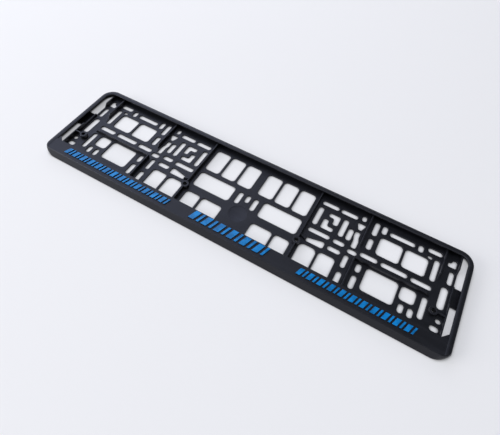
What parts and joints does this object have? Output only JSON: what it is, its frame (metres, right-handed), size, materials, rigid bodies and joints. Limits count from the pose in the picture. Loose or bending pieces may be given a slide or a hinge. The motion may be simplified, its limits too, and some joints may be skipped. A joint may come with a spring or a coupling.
{
  "type": "number plate holder",
  "caption": "One-piece moulded holder for a long car number plate: a pierced, ribbed panel inside a rim whose lip grips the plate, with a wide strip of raised bars below it.",
  "frame": {"origin": "middle of the back's outline, on the flat back", "axes": "+X along the holder, to the right when read from the front; +Y up across it, towards the plate's top edge; +Z out of the front"},
  "size_m": [0.533, 0.135, 0.011],
  "materials": {
    "black_plastic": "moulded, satin with a fine grain",
    "blue_foil": "hot-stamped foil, semi-gloss"
  },
  "bodies": {
    "root": {"holder": "black_plastic", "foil_marks": "blue_foil"}
  },
  "joints": []
}
